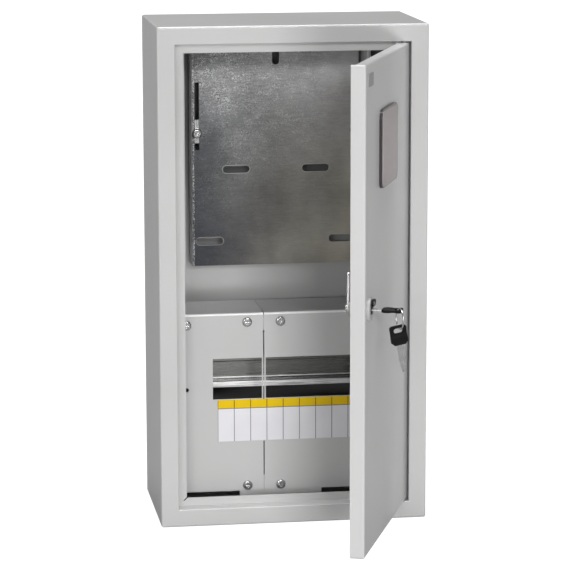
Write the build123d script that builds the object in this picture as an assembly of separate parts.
from build123d import *
import os
from math import cos, radians, sin, sqrt, tan

# Surface-mounted steel meter and breaker enclosure with its door standing open.
# Millimetres. X to the right, Y into the wall, Z up.
# The origin is the centre of the back face, so the front face lies at Y = -DEPTH.

# Box
WIDTH = 290.0
DEPTH = 160.0
HEIGHT = 540.0
SHEET = 1.2
EDGE_BEND = 2.2
FRAME_FACE = 19.0
RETURN_DEPTH = 18.0
LIP_WIDTH = 10.5
LIP_WIDTH_BOTTOM = 8.5
RETURN_BEND = 1.0
MITRE_SLIT = 1.2
MITRE_RELIEF = 5.0
FOLD_BEND = 1.5
KNOCKOUT_RADIUS = 14.0
KNOCKOUT_PITCH = 80.0
KNOCKOUT_GROOVE = 0.8
KNOCKOUT_GROOVE_DEPTH = 0.5
KNOCKOUT_COUNT = 3
WALL_HOLE_RADIUS = 4.0
WALL_HOLE_SPACING_X = 228.0
WALL_HOLE_SPACING_Z = 480.0

# Door
DOOR_SHEET = 1.2
DOOR_DEPTH = 15.0
DOOR_END_FLANGE = 10.5
DOOR_SIDE_GAP = 2.2
DOOR_END_GAP = 1.5
DOOR_BEND = 2.0
DOOR_OPEN_ANGLE = 69.0
HINGE_FROM_EDGE = 4.5
HINGE_FROM_FACE = 5.0
HINGE_PIN_RADIUS = 2.0
HINGE_PIN_HEAD_RADIUS = 3.6
HINGE_PIN_HEAD = 1.5
HINGE_PIN_REACH = 3.2
HINGE_WASHER_RADIUS = 3.6
RUNNING_FIT = 0.06
SEAT_GAP = 0.1

# Door window
WINDOW_X = -8.0
WINDOW_WIDTH = 86.0
WINDOW_HEIGHT = 80.0
WINDOW_FROM_TOP = 113.4
WINDOW_CORNER = 9.0
PANE_PROUD = 3.8
PANE_WALL = 1.6
PANE_RIM = 6.0
PANE_EDGE = 0.9
PANE_FIT = 0.2
RETAINER_SHEET = 1.0
RETAINER_BORDER = 16.0
STUD_RADIUS = 2.0
STUD_LENGTH = 9.0
STUD_NUT_FLATS = 7.0
STUD_NUT_HEIGHT = 3.2
EARTH_STUD_RADIUS = 3.0
EARTH_STUD_LENGTH = 16.0
EARTH_NUT_FLATS = 10.0
EARTH_NUT_HEIGHT = 5.0
DOOR_STUD_FROM_EDGE = 34.0

# Lock
LOCK_FROM_EDGE = 19.7
LOCK_Z = 3.5
LOCK_HEAD_RADIUS = 12.0
LOCK_HEAD_DEPTH = 3.0
LOCK_HEAD_ROUND = 1.0
LOCK_BARREL_RADIUS = 9.0
LOCK_FLATS = 16.0
LOCK_NUT_FLATS = 24.0
LOCK_NUT_HEIGHT = 5.0
PLUG_RADIUS = 4.4
PLUG_CAP_RADIUS = 5.2
PLUG_CAP_DEPTH = 2.0
PLUG_CAP_PROUD = 0.4
CAM_LIP_CLEARANCE = 0.3
CAM_SHEET = 1.8
CAM_REACH = 37.0
CAM_HUB_RADIUS = 6.0
CAM_TIP_RADIUS = 2.5
CAM_SQUARE = 6.5
CAM_SCREW_RADIUS = 1.9
CAM_SCREW_HEAD_RADIUS = 3.0
CAM_SCREW_HEAD = 2.0
CAM_SCREW_LENGTH = 7.0
CAM_WASHER_RADIUS = 4.6
CAM_WASHER_SHEET = 1.0
SHUTTER_PIVOT_X = -4.6
SHUTTER_PIVOT_Z = 7.0
SHUTTER_REACH = 9.0
SHUTTER_HEIGHT = 6.2
SHUTTER_SHEET = 2.2
SHUTTER_RIVET_RADIUS = 1.0
SHUTTER_GAP = 0.3

# Keys
KEY_BLADE_WIDTH = 7.0
KEY_BLADE_SHEET = 1.4
KEY_BLADE_LENGTH = 28.0
KEY_TANG_LENGTH = 7.0
KEY_TIP_WIDTH = 3.0
KEY_TAPER = 14.0
KEY_FIT = 0.1
KEY_SHANK_OUT = 10.5
BOW_LENGTH = 20.0
BOW_WIDTH = 17.4
BOW_SHEET = 2.8
BOW_SHOULDER_WIDTH = 11.4
BOW_CORNER = 3.0
BOW_SCOOP = 0.45
BOW_SCOOP_PLACE = 0.6
BOW_EYE_LENGTH = 9.8
BOW_EYE_WIDTH = 5.0
BOW_EYE_RIM = 2.6
RING_RADIUS = 10.3
RING_WIRE_RADIUS = 0.75
RING_TURN = 60.0
RING_CLEARANCE = 0.8
SPARE_KEY_TILT = 9.0
SPARE_KEY_OFFSET = 2.3

# Meter plate
PLATE_SHEET = 1.0
PLATE_STANDOFF = 24.0
PLATE_HALF_WIDTH = 94.0
PLATE_FROM_TOP = 24.0
PLATE_ABOVE_COVER = 38.0
PLATE_TOP_SLOT_WIDTH = 8.0
PLATE_TOP_SLOT_LENGTH = 25.0
PLATE_TOP_SLOT_DROP = 18.5
METER_SLOT_LENGTH = 30.0
METER_SLOT_WIDTH = 8.0
METER_SLOT_UPPER_SPACING = 89.0
METER_SLOT_UPPER_RISE = 107.6
METER_SLOT_LOWER_SPACING = 149.0
METER_SLOT_LOWER_RISE = 27.6
SIDE_SLOT_X = 88.0
SIDE_SLOT_WIDTH = 5.0
SIDE_SLOT_LENGTH = 75.0
SIDE_SLOT_DROP = 86.6
PLATE_SCREW_DROP = 105.6
PLATE_TAB_HEIGHT = 26.0
PLATE_TAB_RISE = 2.0
PLATE_TAB_INNER_X = 80.0
PLATE_TAB_FOOT = 12.0
BRACKET_SHEET = 1.5
SIDE_STRIP_X = 107.0
SIDE_STRIP_FACE = 5.5
SIDE_STRIP_FOOT = 8.0

# Breaker covers
COVER_SHEET = 1.0
COVER_SETBACK = 48.0
COVER_HALF_WIDTH = 126.0
COVER_FROM_FLOOR = 25.4
COVER_HEIGHT = 198.6
COVER_SHELF = 76.0
COVER_SPLIT_X = -26.5
COVER_JOINT_GAP = 0.4
COVER_SLIT = 1.2
COVER_SLIT_DROP = 21.0
COVER_SLIT_RISE = 14.6
COVER_RELIEF_RADIUS = 1.2
COVER_SHELF_NOTCH = 14.0
MODULE_PITCH = 18.0
WINDOW_LEFT_MODULES = 3
WINDOW_RIGHT_MODULES = 6
BREAKER_WINDOW_HEIGHT = 45.4
BREAKER_WINDOW_DROP = 72.6
WINDOW_BAR = 4.2
COVER_SCREW_DROP = 9.8
COVER_SCREW_RISE = 6.0
COVER_SCREW_X = 18.3
COVER_SCREW_SIDE_X = 111.0
COVER_SCREW_SIDE_DROP = 12.0
SEAL_HOLE_DROP = 83.8
SEAL_HOLE_RADIUS = 2.2
COVER_BRACKET_FACE = 17.0
COVER_BRACKET_FOLD = 14.0
LOWER_BRACKET_LEFT_X = -53.4
LOWER_BRACKET_RIGHT_X = 37.4
LOWER_BRACKET_OVERLAP = 16.6
LOWER_BRACKET_FOOT = 18.0
LABEL_COUNT = 9
LABEL_HEIGHT = 46.2
LABEL_SHEET = 0.4
LABEL_LEFT_X = -77.3
LABEL_GAP = 0.9

# Rail
RAIL_SETBACK = 38.0
RAIL_HEIGHT = 35.0
RAIL_DEPTH = 15.0
RAIL_SHEET = 1.0
RAIL_CHANNEL = 24.0
RAIL_LENGTH = 210.0
RAIL_BRACKET_X = 112.0
RAIL_BRACKET_FACE = 24.0
RAIL_BRACKET_FOOT = 14.0
RAIL_BRACKET_HEIGHT = 30.0

# Screws
SCREW_RADIUS = 2.4
SCREW_CLEARANCE = 0.35
SCREW_THREAD_FIT = 0.05
SCREW_HEAD_RADIUS = 5.4
SCREW_HEAD = 3.2
SCREW_LENGTH = 9.0
SCREW_RECESS = 1.0
SCREW_RECESS_LENGTH = 5.0

# Terminal bars
BAR_LENGTH = 84.0
BAR_HEIGHT = 9.0
BAR_DEPTH = 7.0
BAR_BELOW_RAIL = 86.4
BAR_CENTRE_X = 54.0
BAR_STANDOFF = 22.0
BAR_POST_RADIUS = 6.0
BAR_POST_SPACING = 70.0
BAR_TERMINALS = 6
BAR_TERMINAL_PITCH = 9.5
BAR_WIRE_HOLE_RADIUS = 2.6
BAR_SCREW_RADIUS = 2.0
BAR_SCREW_HEAD_RADIUS = 2.9
BAR_SCREW_HEAD = 2.0
BODY_STUD_X = 108.0
BODY_STUD_BELOW_RAIL = 51.4

# Places worked out from the sizes above
FRONT_Y = -DEPTH
OPENING_WIDTH = WIDTH - 2 * FRAME_FACE
OPENING_HEIGHT = HEIGHT - 2 * FRAME_FACE
LIP_BACK = RETURN_DEPTH + SHEET
COVER_BOTTOM_Z = -HEIGHT / 2 + COVER_FROM_FLOOR
COVER_TOP_Z = COVER_BOTTOM_Z + COVER_HEIGHT
COVER_SLIT_TOP_Z = COVER_TOP_Z - COVER_SLIT_DROP
COVER_SLIT_BOTTOM_Z = COVER_BOTTOM_Z + COVER_SLIT_RISE
COVER_SCREW_TOP_Z = COVER_TOP_Z - COVER_SCREW_DROP
COVER_SCREW_BOTTOM_Z = COVER_BOTTOM_Z + COVER_SCREW_RISE
BREAKER_WINDOW_Z = COVER_TOP_Z - BREAKER_WINDOW_DROP
SEAL_HOLE_Z = COVER_TOP_Z - SEAL_HOLE_DROP
LOWER_BRACKET_TOP_Z = COVER_BOTTOM_Z + LOWER_BRACKET_OVERLAP
LABEL_TOP_Z = BREAKER_WINDOW_Z - BREAKER_WINDOW_HEIGHT / 2 - LABEL_GAP
BAR_Z = BREAKER_WINDOW_Z - BAR_BELOW_RAIL
BODY_STUD_Z = BREAKER_WINDOW_Z - BODY_STUD_BELOW_RAIL
PLATE_TOP_Z = HEIGHT / 2 - PLATE_FROM_TOP
PLATE_BOTTOM_Z = COVER_TOP_Z + PLATE_ABOVE_COVER
PLATE_TOP_SLOT_Z = PLATE_TOP_Z - PLATE_TOP_SLOT_DROP
METER_SLOT_UPPER_Z = PLATE_BOTTOM_Z + METER_SLOT_UPPER_RISE
METER_SLOT_LOWER_Z = PLATE_BOTTOM_Z + METER_SLOT_LOWER_RISE
SIDE_SLOT_Z = PLATE_TOP_Z - SIDE_SLOT_DROP
PLATE_SCREW_Z = PLATE_TOP_Z - PLATE_SCREW_DROP
WINDOW_Z = HEIGHT / 2 - WINDOW_FROM_TOP
DOOR_WIDTH = OPENING_WIDTH - 2 * DOOR_SIDE_GAP
DOOR_HEIGHT = OPENING_HEIGHT - 2 * DOOR_END_GAP
HINGE_X = DOOR_WIDTH / 2 - HINGE_FROM_EDGE
HINGE_Y = FRONT_Y + HINGE_FROM_FACE
LOCK_X = -DOOR_WIDTH / 2 + LOCK_FROM_EDGE
COVER_BACK = COVER_SETBACK + COVER_SHEET
RAIL_FRONT = COVER_SETBACK + RAIL_SETBACK
CAM_FRONT = LIP_BACK + CAM_LIP_CLEARANCE
WINDOW_LEFT_X = COVER_SPLIT_X - WINDOW_BAR / 2 - WINDOW_LEFT_MODULES * MODULE_PITCH
WINDOW_RIGHT_X = COVER_SPLIT_X + WINDOW_BAR / 2 + WINDOW_RIGHT_MODULES * MODULE_PITCH
PLATE_FRONT_Y = -SHEET - PLATE_STANDOFF
PLATE_BACK_Y = PLATE_FRONT_Y + PLATE_SHEET
COVER_SCREWS_TOP = [
    (-COVER_SCREW_SIDE_X, COVER_TOP_Z - COVER_SCREW_SIDE_DROP),
    (COVER_SPLIT_X - COVER_SCREW_X, COVER_SCREW_TOP_Z),
    (COVER_SPLIT_X + COVER_SCREW_X, COVER_SCREW_TOP_Z),
    (COVER_SCREW_SIDE_X, COVER_TOP_Z - COVER_SCREW_SIDE_DROP),
]
COVER_SCREWS_BOTTOM = [(COVER_SPLIT_X + side * COVER_SCREW_X, COVER_SCREW_BOTTOM_Z) for side in (-1, 1)]
COVER_SCREW_PLACES = COVER_SCREWS_TOP + COVER_SCREWS_BOTTOM


# Helpers
def depth_y(depth):
    """Y of a plane that lies this far behind the front face."""
    return FRONT_Y + depth


def upright(sketch, front_y, thickness):
    """Plate from a sketch drawn in X and Z, with its front face at front_y."""
    return extrude(Plane.XZ.offset(-(front_y + thickness)) * sketch, amount=thickness)


def run_x(profile, x_low, x_high):
    """Section drawn in Y and Z, run along X."""
    return extrude(Plane.YZ.offset(x_low) * profile, amount=x_high - x_low)


def run_z(profile, z_low, z_high):
    """Section drawn in X and Y, run along Z."""
    return extrude(Plane.XY.offset(z_low) * profile, amount=z_high - z_low)


def fold(points, thickness, bend=FOLD_BEND):
    """Section of a folded strip that follows its middle line."""
    return trace(FilletPolyline(*points, radius=bend), line_width=thickness)


def frame_sketch(width, height, inner_width, inner_height):
    return Rectangle(width, height) - Rectangle(inner_width, inner_height)


def facing_front(x, y, z):
    """Frame whose Z points out of the front face, with X to the right and Y up."""
    return Plane(origin=(x, y, z), x_dir=(1, 0, 0), z_dir=(0, -1, 0))


def rod(radius, low, high):
    return Pos(0, 0, low) * Cylinder(radius, high - low, align=(Align.CENTER, Align.CENTER, Align.MIN))


def hex_nut(flats, height, bore_radius):
    blank = extrude(RegularPolygon(flats / 2, 6, major_radius=False), amount=height)
    return blank - rod(bore_radius, 0, height)


def pan_screw(length, radius=SCREW_RADIUS, head_radius=SCREW_HEAD_RADIUS, head=SCREW_HEAD):
    """Cross-recess pan-head screw: the head's seat is at Z = 0 and the shank goes down."""
    dome = fillet(rod(head_radius, 0, head).edges().group_by(Axis.Z)[-1], head * 0.6)
    recess = Pos(0, 0, head) * (
        Box(SCREW_RECESS_LENGTH * head / SCREW_HEAD, SCREW_RECESS, head)
        + Box(SCREW_RECESS, SCREW_RECESS_LENGTH * head / SCREW_HEAD, head)
    )
    return dome - recess + rod(radius, -length, 0)


def swing_open(shape):
    """Turn a piece that was modelled on the shut door to the open position."""
    hinge = Pos(HINGE_X, HINGE_Y, 0)
    return hinge * Rot(0, 0, DOOR_OPEN_ANGLE) * hinge.inverse() * shape


def front_edges(shape):
    return shape.edges().filter_by(GeomType.LINE).group_by(Axis.Y)[0]


def group(pieces):
    return Compound(children=[piece if isinstance(piece, Solid) else piece.solid() for piece in pieces])


# Box shell: side walls, front frame, door return and stop lip are one folded sheet
def wall_holes():
    places = GridLocations(WALL_HOLE_SPACING_X, WALL_HOLE_SPACING_Z, 2, 2)
    return Sketch() + places * Circle(WALL_HOLE_RADIUS)


def knockout_grooves():
    ring = Circle(KNOCKOUT_RADIUS) - Circle(KNOCKOUT_RADIUS - KNOCKOUT_GROOVE)
    places = GridLocations(KNOCKOUT_PITCH, 1, KNOCKOUT_COUNT, 1)
    grooves = extrude(Sketch() + places * ring, amount=KNOCKOUT_GROOVE_DEPTH)
    return Pos(0, -DEPTH / 2, -HEIGHT / 2) * grooves


def lip_mitres():
    """Short relief slots where the lower stop lip meets the side lips."""
    slit = upright(Rectangle(2 * MITRE_RELIEF, MITRE_SLIT), depth_y(RETURN_DEPTH), SHEET)
    corner_x = OPENING_WIDTH / 2 - LIP_WIDTH - SHEET / 2
    corner_z = -OPENING_HEIGHT / 2 + LIP_WIDTH_BOTTOM + SHEET / 2
    places = [Pos(side * corner_x, 0, corner_z) * Rot(0, 45 * side, 0) for side in (-1, 1)]
    return [place * slit for place in places]


def enclosure_body():
    blank = upright(Rectangle(WIDTH, HEIGHT), FRONT_Y, DEPTH)
    blank = fillet(blank.edges().filter_by(Axis.Y) + front_edges(blank), EDGE_BEND)
    inside = Rectangle(WIDTH - 2 * SHEET, HEIGHT - 2 * SHEET)
    cavity = upright(inside, FRONT_Y + SHEET, DEPTH - 2 * SHEET)
    opening = upright(Rectangle(OPENING_WIDTH, OPENING_HEIGHT), FRONT_Y, SHEET)
    shell = blank - cavity - opening

    outer = (OPENING_WIDTH + 2 * SHEET, OPENING_HEIGHT + 2 * SHEET)
    door_return = upright(frame_sketch(*outer, OPENING_WIDTH, OPENING_HEIGHT), FRONT_Y, LIP_BACK)
    inner = Rectangle(OPENING_WIDTH - 2 * LIP_WIDTH, OPENING_HEIGHT - LIP_WIDTH - LIP_WIDTH_BOTTOM)
    inner = Pos(0, (LIP_WIDTH_BOTTOM - LIP_WIDTH) / 2) * inner
    lip = upright(Rectangle(*outer) - inner, depth_y(RETURN_DEPTH), SHEET)
    shell += door_return + lip
    rim = shell.edges().filter_by(GeomType.LINE).filter_by_position(Axis.Y, FRONT_Y - 0.01, FRONT_Y + 0.01)
    rim = rim.filter_by_position(Axis.X, -OPENING_WIDTH / 2 - 0.01, OPENING_WIDTH / 2 + 0.01)
    rim = rim.filter_by_position(Axis.Z, -OPENING_HEIGHT / 2 - 0.01, OPENING_HEIGHT / 2 + 0.01)
    shell = fillet(rim, RETURN_BEND)

    for slit in lip_mitres():
        shell -= slit
    shell -= upright(wall_holes(), -SHEET, SHEET)
    shell -= knockout_grooves()
    pivot = Pos(HINGE_X, HINGE_Y, 0) * rod(HINGE_PIN_RADIUS, -HEIGHT / 2 + SHEET, HEIGHT / 2 - SHEET)
    return shell - pivot


def hinge_pin(side):
    """Pivot pin of the door: its head sits behind the frame's return."""
    seat = OPENING_HEIGHT / 2 + SHEET
    end = DOOR_HEIGHT / 2 - DOOR_SHEET - HINGE_PIN_REACH
    pin = rod(HINGE_PIN_RADIUS, end, seat) + rod(HINGE_PIN_HEAD_RADIUS, seat, seat + HINGE_PIN_HEAD)
    pin = Pos(HINGE_X, HINGE_Y, 0) * pin
    return pin if side > 0 else mirror(pin, Plane.XY)


def hinge_washers():
    low = DOOR_HEIGHT / 2 + SEAT_GAP
    high = OPENING_HEIGHT / 2
    washer = rod(HINGE_WASHER_RADIUS, low, high) - rod(HINGE_PIN_RADIUS, low, high)
    washer = Pos(HINGE_X, HINGE_Y, 0) * washer
    return group([washer, mirror(washer, Plane.XY)])


# Meter compartment
def meter_plate():
    half = PLATE_HALF_WIDTH - PLATE_SHEET / 2
    front = PLATE_FRONT_Y + PLATE_SHEET / 2
    plan = fold([(-half, -SHEET), (-half, front), (half, front), (half, -SHEET)], PLATE_SHEET)
    plate = run_z(plan, PLATE_BOTTOM_Z, PLATE_TOP_Z)
    slots = Pos(0, PLATE_TOP_SLOT_Z) * SlotOverall(PLATE_TOP_SLOT_LENGTH, PLATE_TOP_SLOT_WIDTH, rotation=90)
    meter_slot = SlotOverall(METER_SLOT_LENGTH, METER_SLOT_WIDTH)
    side_slot = Rectangle(SIDE_SLOT_WIDTH, SIDE_SLOT_LENGTH)
    for side in (-1, 1):
        slots += Pos(side * METER_SLOT_UPPER_SPACING / 2, METER_SLOT_UPPER_Z) * meter_slot
        slots += Pos(side * METER_SLOT_LOWER_SPACING / 2, METER_SLOT_LOWER_Z) * meter_slot
        slots += Pos(side * SIDE_SLOT_X, SIDE_SLOT_Z) * side_slot
    return plate - upright(slots, PLATE_FRONT_Y, PLATE_SHEET)


def plate_bracket(side):
    """Z-shaped tab on the back wall, with the screw's thread behind the plate's side slot."""
    face_y = PLATE_BACK_Y + BRACKET_SHEET / 2
    foot_y = -SHEET - BRACKET_SHEET / 2
    points = [
        (PLATE_HALF_WIDTH - 2 * PLATE_SHEET, face_y),
        (PLATE_TAB_INNER_X, face_y),
        (PLATE_TAB_INNER_X, foot_y),
        (PLATE_TAB_INNER_X - PLATE_TAB_FOOT, foot_y),
    ]
    low = PLATE_SCREW_Z + PLATE_TAB_RISE - PLATE_TAB_HEIGHT / 2
    tab = run_z(fold(points, BRACKET_SHEET), low, low + PLATE_TAB_HEIGHT)
    thread = Pos(SIDE_SLOT_X, PLATE_SCREW_Z) * Circle(SCREW_RADIUS + SCREW_THREAD_FIT)
    tab -= upright(thread, PLATE_BACK_Y, BRACKET_SHEET)
    return tab if side > 0 else mirror(tab, Plane.YZ)


def meter_plate_screws():
    screw = pan_screw(SCREW_LENGTH)
    places = [(side * SIDE_SLOT_X, PLATE_FRONT_Y, PLATE_SCREW_Z) for side in (-1, 1)]
    return group([facing_front(*place).location * screw for place in places])


def side_strip(side):
    """Folded strip on the back wall beside the meter plate."""
    face_y = PLATE_FRONT_Y + BRACKET_SHEET / 2
    foot_y = -SHEET - BRACKET_SHEET / 2
    web_x = SIDE_STRIP_X - BRACKET_SHEET / 2
    points = [
        (SIDE_STRIP_X - SIDE_STRIP_FACE, face_y),
        (web_x, face_y),
        (web_x, foot_y),
        (SIDE_STRIP_X - SIDE_STRIP_FOOT, foot_y),
    ]
    strip = run_z(fold(points, BRACKET_SHEET), PLATE_BOTTOM_Z, PLATE_TOP_Z)
    return strip if side > 0 else mirror(strip, Plane.YZ)


# Breaker covers
def cover_blank():
    """Front and top shelf of the breaker cover, before it is parted in two."""
    face_y = depth_y(COVER_SETBACK) + COVER_SHEET / 2
    shelf_z = COVER_TOP_Z - COVER_SHEET / 2
    shelf_end = depth_y(COVER_SETBACK) + COVER_SHELF
    profile = fold([(face_y, COVER_BOTTOM_Z), (face_y, shelf_z), (shelf_end, shelf_z)], COVER_SHEET)
    blank = run_x(profile, -COVER_HALF_WIDTH, COVER_HALF_WIDTH)

    window_width = WINDOW_RIGHT_X - WINDOW_LEFT_X
    openings = Pos((WINDOW_LEFT_X + WINDOW_RIGHT_X) / 2, BREAKER_WINDOW_Z) * Rectangle(
        window_width, BREAKER_WINDOW_HEIGHT
    )
    openings -= Pos(COVER_SPLIT_X, BREAKER_WINDOW_Z) * Rectangle(WINDOW_BAR, BREAKER_WINDOW_HEIGHT)
    for x, z in COVER_SCREW_PLACES:
        openings += Pos(x, z) * Circle(SCREW_RADIUS + SCREW_CLEARANCE)
    for side in (-1, 1):
        openings += Pos(side * COVER_SCREW_SIDE_X, SEAL_HOLE_Z) * Circle(SEAL_HOLE_RADIUS)
    return blank - upright(openings, depth_y(COVER_SETBACK), COVER_SHEET)


def cover_parting():
    """What the parting line takes out: a hairline, a wider slit between two relief holes, a notch on top."""
    height = COVER_TOP_Z - COVER_BOTTOM_Z
    hairline = Pos(COVER_SPLIT_X, (COVER_TOP_Z + COVER_BOTTOM_Z) / 2) * Rectangle(COVER_JOINT_GAP, height)
    slit_length = COVER_SLIT_TOP_Z - COVER_SLIT_BOTTOM_Z
    slit_z = (COVER_SLIT_TOP_Z + COVER_SLIT_BOTTOM_Z) / 2
    slit = Pos(COVER_SPLIT_X, slit_z) * Rectangle(COVER_SLIT, slit_length)
    front = hairline + slit
    for z in (COVER_SLIT_TOP_Z, COVER_SLIT_BOTTOM_Z):
        front += Pos(COVER_SPLIT_X, z) * Circle(COVER_RELIEF_RADIUS)
    front_cut = upright(front, depth_y(COVER_SETBACK), COVER_SHEET)

    front_y = depth_y(COVER_SETBACK)
    shelf = Pos(COVER_SPLIT_X, front_y + COVER_SHELF / 2) * Rectangle(COVER_JOINT_GAP, COVER_SHELF)
    shelf += Pos(COVER_SPLIT_X, front_y + COVER_SHELF_NOTCH / 2) * Rectangle(COVER_SLIT, COVER_SHELF_NOTCH)
    return front_cut + run_z(shelf, COVER_TOP_Z - COVER_SHEET - FOLD_BEND, COVER_TOP_Z)


def covers():
    parted = (cover_blank() - cover_parting()).solids().sort_by(Axis.X)
    return parted[0], parted[-1]


def bracket_threads(places):
    holes = Sketch() + [Pos(x, z) * Circle(SCREW_RADIUS + SCREW_THREAD_FIT) for x, z in places]
    return upright(holes, depth_y(COVER_BACK), BRACKET_SHEET)


def cover_bracket_upper():
    """Folded angle between the side walls, behind the covers' upper edge."""
    face_y = depth_y(COVER_BACK) + BRACKET_SHEET / 2
    top_z = COVER_TOP_Z - COVER_SHEET - FOLD_BEND
    low_z = top_z - COVER_BRACKET_FACE
    profile = fold([(face_y, top_z), (face_y, low_z), (face_y + COVER_BRACKET_FOLD, low_z)], BRACKET_SHEET)
    angle = run_x(profile, -WIDTH / 2 + SHEET, WIDTH / 2 - SHEET)
    return angle - bracket_threads(COVER_SCREWS_TOP)


def cover_bracket_lower():
    """Folded foot on the box's floor, behind the covers' lower edge."""
    face_y = depth_y(COVER_BACK) + BRACKET_SHEET / 2
    floor_z = -HEIGHT / 2 + SHEET + BRACKET_SHEET / 2
    foot_end = face_y + LOWER_BRACKET_FOOT
    profile = fold([(face_y, LOWER_BRACKET_TOP_Z), (face_y, floor_z), (foot_end, floor_z)], BRACKET_SHEET)
    foot = run_x(profile, LOWER_BRACKET_LEFT_X, LOWER_BRACKET_RIGHT_X)
    return foot - bracket_threads(COVER_SCREWS_BOTTOM)


def cover_screws():
    screw = pan_screw(SCREW_LENGTH)
    places = [(x, depth_y(COVER_SETBACK), z) for x, z in COVER_SCREW_PLACES]
    return group([facing_front(*place).location * screw for place in places])


def module_label_strip():
    length = LABEL_COUNT * MODULE_PITCH
    face = Pos(LABEL_LEFT_X + length / 2, LABEL_TOP_Z - LABEL_HEIGHT / 2) * Rectangle(length, LABEL_HEIGHT)
    return upright(face, depth_y(COVER_SETBACK) - LABEL_SHEET, LABEL_SHEET)


# Rail
def rail_section():
    """Top-hat section, open to the front."""
    front_y = depth_y(RAIL_FRONT) + RAIL_SHEET / 2
    web_y = depth_y(RAIL_FRONT) + RAIL_DEPTH - RAIL_SHEET / 2
    step = (RAIL_CHANNEL - RAIL_SHEET) / 2
    edge = RAIL_HEIGHT / 2
    z = BREAKER_WINDOW_Z
    points = [
        (front_y, z + edge),
        (front_y, z + step),
        (web_y, z + step),
        (web_y, z - step),
        (front_y, z - step),
        (front_y, z - edge),
    ]
    return fold(points, RAIL_SHEET, RAIL_SHEET)


def rail_screw_x(side):
    return side * (RAIL_BRACKET_X - RAIL_BRACKET_FACE / 2)


def din_rail():
    rail = run_x(rail_section(), -RAIL_LENGTH / 2, RAIL_LENGTH / 2)
    hole = Circle(SCREW_RADIUS + SCREW_CLEARANCE)
    holes = Sketch() + [Pos(rail_screw_x(side), BREAKER_WINDOW_Z) * hole for side in (-1, 1)]
    return rail - upright(holes, depth_y(RAIL_FRONT + RAIL_DEPTH) - RAIL_SHEET, RAIL_SHEET)


def rail_bracket(side):
    """Z-shaped bracket from the back wall to the rail's web."""
    face_y = depth_y(RAIL_FRONT + RAIL_DEPTH) + BRACKET_SHEET / 2
    foot_y = -SHEET - BRACKET_SHEET / 2
    points = [
        (RAIL_BRACKET_X - RAIL_BRACKET_FACE, face_y),
        (RAIL_BRACKET_X, face_y),
        (RAIL_BRACKET_X, foot_y),
        (RAIL_BRACKET_X + RAIL_BRACKET_FOOT, foot_y),
    ]
    low = BREAKER_WINDOW_Z - RAIL_BRACKET_HEIGHT / 2
    bracket = run_z(fold(points, BRACKET_SHEET), low, low + RAIL_BRACKET_HEIGHT)
    thread = Pos(rail_screw_x(1), BREAKER_WINDOW_Z) * Circle(SCREW_RADIUS + SCREW_THREAD_FIT)
    bracket -= upright(thread, face_y - BRACKET_SHEET / 2, BRACKET_SHEET)
    return bracket if side > 0 else mirror(bracket, Plane.YZ)


def rail_screws():
    screw = pan_screw(SCREW_LENGTH)
    seat_y = depth_y(RAIL_FRONT + RAIL_DEPTH) - RAIL_SHEET
    places = [(rail_screw_x(side), seat_y, BREAKER_WINDOW_Z) for side in (-1, 1)]
    return group([facing_front(*place).location * screw for place in places])


# Terminal bars behind the covers
def bar_terminals():
    return [(i - (BAR_TERMINALS - 1) / 2) * BAR_TERMINAL_PITCH for i in range(BAR_TERMINALS)]


def terminal_bar(side):
    """Brass bar with a row of wire holes from below and clamp screws from the front."""
    bar = Box(BAR_LENGTH, BAR_DEPTH, BAR_HEIGHT)
    thread = Rot(90, 0, 0) * Cylinder(BAR_SCREW_RADIUS + SCREW_THREAD_FIT, BAR_DEPTH)
    for x in bar_terminals():
        bar -= Pos(x, 0, 0) * Cylinder(BAR_WIRE_HOLE_RADIUS, BAR_HEIGHT)
        bar -= Pos(x, -BAR_DEPTH / 2, 0) * thread
    centre_y = -SHEET - BAR_STANDOFF - BAR_DEPTH / 2
    return Pos(side * BAR_CENTRE_X, centre_y, BAR_Z) * bar


def terminal_bar_posts(side):
    post = rod(BAR_POST_RADIUS, 0, BAR_STANDOFF)
    places = [side * BAR_CENTRE_X + end * BAR_POST_SPACING / 2 for end in (-1, 1)]
    return group([facing_front(x, -SHEET, BAR_Z).location * post for x in places])


def terminal_bar_screws(side):
    screw = pan_screw(
        BAR_DEPTH / 2 - BAR_WIRE_HOLE_RADIUS, BAR_SCREW_RADIUS, BAR_SCREW_HEAD_RADIUS, BAR_SCREW_HEAD
    )
    face_y = -SHEET - BAR_STANDOFF - BAR_DEPTH
    places = [(side * BAR_CENTRE_X + x, face_y, BAR_Z) for x in bar_terminals()]
    return group([facing_front(*place).location * screw for place in places])


def earth_stud():
    seat = facing_front(BODY_STUD_X, -SHEET, BODY_STUD_Z).location
    return seat * rod(EARTH_STUD_RADIUS, 0, EARTH_STUD_LENGTH)


def earth_stud_nuts():
    seat = facing_front(BODY_STUD_X, -SHEET, BODY_STUD_Z).location
    nut = hex_nut(EARTH_NUT_FLATS, EARTH_NUT_HEIGHT, EARTH_STUD_RADIUS)
    return group([seat * nut, seat * Pos(0, 0, EARTH_NUT_HEIGHT) * nut])


# Door, modelled shut
def pane_stud_places():
    x = (WINDOW_WIDTH + RETAINER_BORDER) / 2
    z = WINDOW_HEIGHT / 2 - WINDOW_CORNER
    return [(WINDOW_X + side_x * x, WINDOW_Z + side_z * z) for side_x in (-1, 1) for side_z in (-1, 1)]


def door_stud_place():
    return DOOR_WIDTH / 2 - DOOR_STUD_FROM_EDGE, -DOOR_HEIGHT / 2 + DOOR_STUD_FROM_EDGE


def lock_hole(clearance):
    """Round hole with two flats that keeps the lock from turning."""
    radius = LOCK_BARREL_RADIUS + clearance
    return Circle(radius) & Rectangle(2 * radius, LOCK_FLATS + 2 * clearance)


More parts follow.
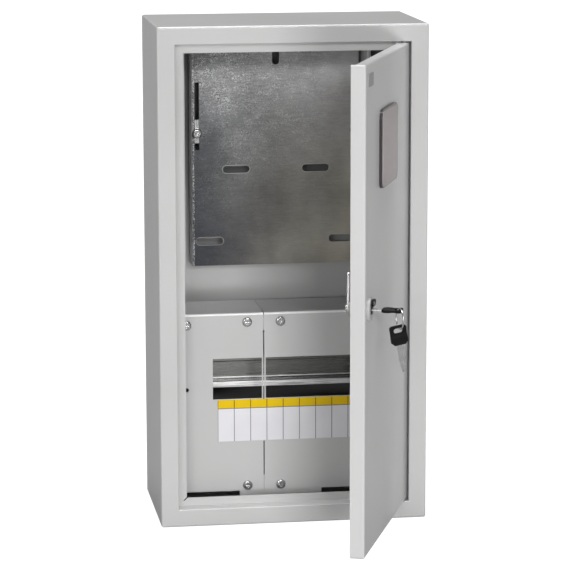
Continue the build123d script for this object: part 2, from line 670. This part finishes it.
def door_panel():
    blank = upright(Rectangle(DOOR_WIDTH, DOOR_HEIGHT), FRONT_Y, DOOR_DEPTH)
    blank = fillet(blank.edges().filter_by(Axis.Y) + front_edges(blank), DOOR_BEND)
    inner = Rectangle(DOOR_WIDTH - 2 * DOOR_SHEET, DOOR_HEIGHT - 2 * DOOR_SHEET)
    pan = blank - upright(inner, FRONT_Y + DOOR_SHEET, DOOR_DEPTH - DOOR_SHEET)
    between_sides = Rectangle(DOOR_WIDTH - 2 * DOOR_SHEET, DOOR_HEIGHT)
    pan -= upright(between_sides, FRONT_Y + DOOR_END_FLANGE, DOOR_DEPTH - DOOR_END_FLANGE)

    holes = Pos(WINDOW_X, WINDOW_Z) * RectangleRounded(WINDOW_WIDTH, WINDOW_HEIGHT, WINDOW_CORNER)
    holes += Pos(LOCK_X, LOCK_Z) * lock_hole(PANE_FIT)
    pan -= upright(holes, FRONT_Y, DOOR_SHEET)
    pan -= Pos(HINGE_X, HINGE_Y, 0) * rod(HINGE_PIN_RADIUS + RUNNING_FIT, -DOOR_HEIGHT / 2, DOOR_HEIGHT / 2)

    stud = rod(STUD_RADIUS, -STUD_LENGTH, 0)
    for x, z in pane_stud_places():
        pan += facing_front(x, FRONT_Y + DOOR_SHEET, z).location * stud
    earth_x, earth_z = door_stud_place()
    earth = rod(EARTH_STUD_RADIUS, -EARTH_STUD_LENGTH + DOOR_SHEET, 0)
    return pan + facing_front(earth_x, FRONT_Y + DOOR_SHEET, earth_z).location * earth


def door_earth_nut():
    x, z = door_stud_place()
    nut = hex_nut(EARTH_NUT_FLATS, EARTH_NUT_HEIGHT, EARTH_STUD_RADIUS)
    return facing_front(x, FRONT_Y + DOOR_SHEET + EARTH_NUT_HEIGHT, z).location * nut


def window_pane():
    """Clear moulded pane: a hollow plateau stands through the door, a flat rim lies behind it."""
    rim_width = WINDOW_WIDTH + 2 * PANE_RIM
    rim_height = WINDOW_HEIGHT + 2 * PANE_RIM
    rim = upright(RectangleRounded(rim_width, rim_height, WINDOW_CORNER), FRONT_Y + DOOR_SHEET, PANE_WALL)
    width = WINDOW_WIDTH - 2 * PANE_FIT
    height = WINDOW_HEIGHT - 2 * PANE_FIT
    rise = PANE_PROUD + DOOR_SHEET + PANE_WALL
    plateau = upright(RectangleRounded(width, height, WINDOW_CORNER - PANE_FIT), FRONT_Y - PANE_PROUD, rise)
    plateau = fillet(plateau.edges().group_by(Axis.Y)[0], PANE_EDGE)
    inner_corner = WINDOW_CORNER - PANE_FIT - PANE_WALL
    inside = RectangleRounded(width - 2 * PANE_WALL, height - 2 * PANE_WALL, inner_corner)
    hollow = upright(inside, FRONT_Y - PANE_PROUD + PANE_WALL, rise - PANE_WALL)
    return Pos(WINDOW_X, 0, WINDOW_Z) * (rim + plateau - hollow)


def window_retainer():
    """Flat steel frame on four studs that presses the pane's rim to the door."""
    outer = RectangleRounded(
        WINDOW_WIDTH + 2 * RETAINER_BORDER, WINDOW_HEIGHT + 2 * PANE_RIM, WINDOW_CORNER
    )
    frame = outer - RectangleRounded(WINDOW_WIDTH, WINDOW_HEIGHT, WINDOW_CORNER)
    for x, z in pane_stud_places():
        frame -= Pos(x - WINDOW_X, z - WINDOW_Z) * Circle(STUD_RADIUS + PANE_FIT)
    return Pos(WINDOW_X, 0, WINDOW_Z) * upright(frame, FRONT_Y + DOOR_SHEET + PANE_WALL, RETAINER_SHEET)


def window_nuts():
    seat_y = FRONT_Y + DOOR_SHEET + PANE_WALL + RETAINER_SHEET + STUD_NUT_HEIGHT
    nut = hex_nut(STUD_NUT_FLATS, STUD_NUT_HEIGHT, STUD_RADIUS)
    return group([facing_front(x, seat_y, z).location * nut for x, z in pane_stud_places()])


# Lock and keys, drawn about the lock's axis with Z out of the door
LOCK_FRAME = facing_front(LOCK_X, FRONT_Y, LOCK_Z).location
BARREL_END = -(CAM_FRONT - 2 * SEAT_GAP)
PLUG_FACE = LOCK_HEAD_DEPTH + PLUG_CAP_PROUD
BOW_START = PLUG_FACE + KEY_SHANK_OUT
SHUTTER_BACK = PLUG_FACE + SHUTTER_GAP
CAM_SEAT = -CAM_FRONT - CAM_SHEET - CAM_WASHER_SHEET


def lock_housing():
    head = rod(LOCK_HEAD_RADIUS, 0, LOCK_HEAD_DEPTH)
    head = fillet(head.edges().group_by(Axis.Z)[-1], LOCK_HEAD_ROUND)
    barrel = extrude(Pos(0, 0, BARREL_END) * lock_hole(0), amount=-BARREL_END)
    bore = rod(PLUG_RADIUS, BARREL_END, LOCK_HEAD_DEPTH)
    recess = rod(PLUG_CAP_RADIUS, LOCK_HEAD_DEPTH - PLUG_CAP_DEPTH, LOCK_HEAD_DEPTH)
    rivet = Pos(SHUTTER_PIVOT_X, SHUTTER_PIVOT_Z, 0) * rod(SHUTTER_RIVET_RADIUS, 0, LOCK_HEAD_DEPTH)
    return head + barrel - bore - recess - rivet


def lock_nut():
    nut = hex_nut(LOCK_NUT_FLATS, LOCK_NUT_HEIGHT, LOCK_BARREL_RADIUS)
    return Pos(0, 0, -DOOR_SHEET - LOCK_NUT_HEIGHT) * nut


def dust_cover_rivet():
    head_low = SHUTTER_BACK + SHUTTER_SHEET + SEAT_GAP
    shank = rod(SHUTTER_RIVET_RADIUS, 0, head_low)
    collar = rod(2 * SHUTTER_RIVET_RADIUS, LOCK_HEAD_DEPTH, SHUTTER_BACK - SEAT_GAP)
    head = rod(2 * SHUTTER_RIVET_RADIUS, head_low, head_low + SHUTTER_RIVET_RADIUS)
    head = fillet(head.edges().group_by(Axis.Z)[-1], SHUTTER_RIVET_RADIUS / 2)
    return Pos(SHUTTER_PIVOT_X, SHUTTER_PIVOT_Z, 0) * (shank + collar + head)


def dust_cover():
    """Shutter that swings aside from the keyway on its rivet."""
    outline = Pos(SHUTTER_REACH / 2, 0) * SlotCenterToCenter(SHUTTER_REACH, SHUTTER_HEIGHT)
    outline -= Circle(SHUTTER_RIVET_RADIUS + RUNNING_FIT)
    return Pos(SHUTTER_PIVOT_X, SHUTTER_PIVOT_Z, SHUTTER_BACK) * extrude(outline, amount=SHUTTER_SHEET)


def lock_plug():
    """Plug with its keyway: a cap fills the head's recess, a square carries the cam."""
    plug = rod(PLUG_RADIUS - RUNNING_FIT, BARREL_END - SEAT_GAP, LOCK_HEAD_DEPTH)
    cap_low = LOCK_HEAD_DEPTH - PLUG_CAP_DEPTH + SEAT_GAP
    plug += rod(PLUG_CAP_RADIUS - RUNNING_FIT, cap_low, PLUG_FACE)
    square_face = Pos(0, 0, -CAM_FRONT - CAM_SHEET) * Rectangle(CAM_SQUARE, CAM_SQUARE)
    square = extrude(square_face, amount=CAM_SHEET + SEAT_GAP)
    keyway_length = KEY_BLADE_LENGTH - KEY_SHANK_OUT + KEY_FIT
    keyway = Rectangle(KEY_BLADE_WIDTH + 2 * KEY_FIT, KEY_BLADE_SHEET + 2 * KEY_FIT)
    plug -= extrude(Pos(0, 0, PLUG_FACE - keyway_length) * keyway, amount=keyway_length)
    thread_end = CAM_SEAT + CAM_SCREW_LENGTH + SEAT_GAP
    thread = rod(CAM_SCREW_RADIUS, -CAM_FRONT - CAM_SHEET, thread_end)
    return plug + square - thread


def lock_cam():
    """Tapered flat cam: it points up at rest, and behind the frame's lip when the lock is turned."""
    hub = Circle(CAM_HUB_RADIUS)
    tip = Pos(0, CAM_REACH - CAM_TIP_RADIUS) * Circle(CAM_TIP_RADIUS)
    outline = make_hull(hub.edges() + tip.edges()) - Rectangle(CAM_SQUARE, CAM_SQUARE)
    return extrude(Pos(0, 0, -CAM_FRONT - CAM_SHEET) * outline, amount=CAM_SHEET)


def cam_washer():
    high = CAM_SEAT + CAM_WASHER_SHEET
    return rod(CAM_WASHER_RADIUS, CAM_SEAT, high) - rod(CAM_SCREW_RADIUS, CAM_SEAT, high)


def cam_screw():
    screw = pan_screw(CAM_SCREW_LENGTH, CAM_SCREW_RADIUS, CAM_SCREW_HEAD_RADIUS, CAM_SCREW_HEAD)
    return Pos(0, 0, CAM_SEAT) * Rot(180, 0, 0) * screw


def key_blade():
    """Flat tapered blade: Z = 0 is the bow's shoulder and the tip points down."""
    half = KEY_BLADE_WIDTH / 2
    tip_half = KEY_TIP_WIDTH / 2
    tip_z = -KEY_BLADE_LENGTH
    outline = Polyline(
        (-half, KEY_TANG_LENGTH),
        (-half, tip_z + KEY_TAPER),
        (-tip_half, tip_z),
        (tip_half, tip_z),
        (half, tip_z + KEY_TAPER),
        (half, KEY_TANG_LENGTH),
        close=True,
    )
    return upright(make_face(outline), -KEY_BLADE_SHEET / 2, KEY_BLADE_SHEET)


def key_bow():
    """Moulded bow: narrow shoulder, finger scoops on both faces and an eye near its end."""
    half = BOW_WIDTH / 2
    shoulder = BOW_SHOULDER_WIDTH / 2
    spread = half - shoulder
    outline = Polyline(
        (-shoulder, 0),
        (shoulder, 0),
        (half, spread),
        (half, BOW_LENGTH),
        (-half, BOW_LENGTH),
        (-half, spread),
        close=True,
    )
    face = make_face(outline)
    face = fillet(face.vertices().group_by(Axis.Y)[-1], BOW_CORNER)
    eye_z = BOW_LENGTH - BOW_EYE_RIM - BOW_EYE_WIDTH / 2
    face -= Pos(0, eye_z) * SlotOverall(BOW_EYE_LENGTH, BOW_EYE_WIDTH)
    bow = upright(face, -BOW_SHEET / 2, BOW_SHEET)
    scoop_radius = BOW_LENGTH
    for side in (-1, 1):
        scoop = Rot(0, 90, 0) * Cylinder(scoop_radius, BOW_WIDTH)
        scoop_y = side * (BOW_SHEET / 2 + scoop_radius - BOW_SCOOP)
        bow -= Pos(0, scoop_y, BOW_LENGTH * BOW_SCOOP_PLACE) * scoop
    return bow - key_blade()


# Ring through the bow's eye, hanging from the rim at its end
RIM_MIDDLE = BOW_START + BOW_LENGTH - BOW_EYE_RIM / 2
RIM_HALF_CHORD = BOW_EYE_RIM / 2 / cos(radians(RING_TURN))
RING_INNER_RADIUS = RING_RADIUS - RING_WIRE_RADIUS
RING_SEAT = sqrt(RING_INNER_RADIUS**2 - RIM_HALF_CHORD**2) - RING_CLEARANCE
RING_CENTRE_HEIGHT = BOW_SHEET / 2 - RING_SEAT
EYE_MIDDLE_FROM_RIM = (BOW_EYE_RIM + BOW_EYE_WIDTH) / 2
RING_OFFSET = -EYE_MIDDLE_FROM_RIM * tan(radians(RING_TURN))
RING_CENTRE = (RING_OFFSET, RING_CENTRE_HEIGHT, RIM_MIDDLE)
RING_ACROSS = (cos(radians(RING_TURN)), 0, sin(radians(RING_TURN)))


def key_ring():
    ring_plane = Plane(origin=RING_CENTRE, x_dir=(0, 1, 0), z_dir=RING_ACROSS)
    return ring_plane.location * Torus(RING_RADIUS, RING_WIRE_RADIUS)


def spare_key_frame():
    """Place of the spare key: its eye hangs on the ring's lowest point, leaning to one side."""
    wire_top = RING_CENTRE_HEIGHT - RING_RADIUS + RING_WIRE_RADIUS
    hang = Plane(
        origin=(RING_OFFSET, wire_top + RING_CLEARANCE, RIM_MIDDLE), x_dir=RING_ACROSS, z_dir=(0, 1, 0)
    )
    eye_top = BOW_LENGTH - BOW_EYE_RIM
    return hang.location * Rot(0, -SPARE_KEY_TILT, 0) * Pos(-SPARE_KEY_OFFSET, 0, -eye_top)


def on_door(shape):
    """Carry a lock or key piece to its place on the open door."""
    return swing_open(LOCK_FRAME * shape)


# All pieces by name
cover_left, cover_right = covers()
inserted_key = Pos(0, 0, BOW_START)
spare_key = spare_key_frame()

PARTS = {
    "enclosure_body": enclosure_body(),
    "side_strip_left": side_strip(-1),
    "side_strip_right": side_strip(1),
    "plate_bracket_left": plate_bracket(-1),
    "plate_bracket_right": plate_bracket(1),
    "meter_plate": meter_plate(),
    "meter_plate_screws": meter_plate_screws(),
    "din_rail": din_rail(),
    "rail_bracket_left": rail_bracket(-1),
    "rail_bracket_right": rail_bracket(1),
    "rail_screws": rail_screws(),
    "cover_left": cover_left,
    "cover_right": cover_right,
    "cover_bracket_upper": cover_bracket_upper(),
    "cover_bracket_lower": cover_bracket_lower(),
    "cover_screws": cover_screws(),
    "module_label_strip": module_label_strip(),
    "neutral_bar": terminal_bar(-1),
    "neutral_bar_insulators": terminal_bar_posts(-1),
    "neutral_bar_screws": terminal_bar_screws(-1),
    "earth_bar": terminal_bar(1),
    "earth_bar_posts": terminal_bar_posts(1),
    "earth_bar_screws": terminal_bar_screws(1),
    "earth_stud": earth_stud(),
    "earth_stud_nuts": earth_stud_nuts(),
    "hinge_pin_upper": hinge_pin(1),
    "hinge_pin_lower": hinge_pin(-1),
    "hinge_washers": hinge_washers(),
    "door_panel": swing_open(door_panel()),
    "door_earth_nut": swing_open(door_earth_nut()),
    "window_pane": swing_open(window_pane()),
    "window_retainer": swing_open(window_retainer()),
    "window_nuts": swing_open(window_nuts()),
    "lock_housing": on_door(lock_housing()),
    "lock_nut": on_door(lock_nut()),
    "dust_cover_rivet": on_door(dust_cover_rivet()),
    "dust_cover": on_door(dust_cover()),
    "lock_plug": on_door(lock_plug()),
    "lock_cam": on_door(lock_cam()),
    "cam_washer": on_door(cam_washer()),
    "cam_screw": on_door(cam_screw()),
    "key_blade": on_door(inserted_key * key_blade()),
    "key_bow": on_door(inserted_key * key_bow()),
    "key_ring": on_door(key_ring()),
    "spare_key_blade": on_door(spare_key * key_blade()),
    "spare_key_bow": on_door(spare_key * key_bow()),
}

os.makedirs("parts", exist_ok=True)
for node, shape in PARTS.items():
    export_step(shape, f"parts/{node}.step")
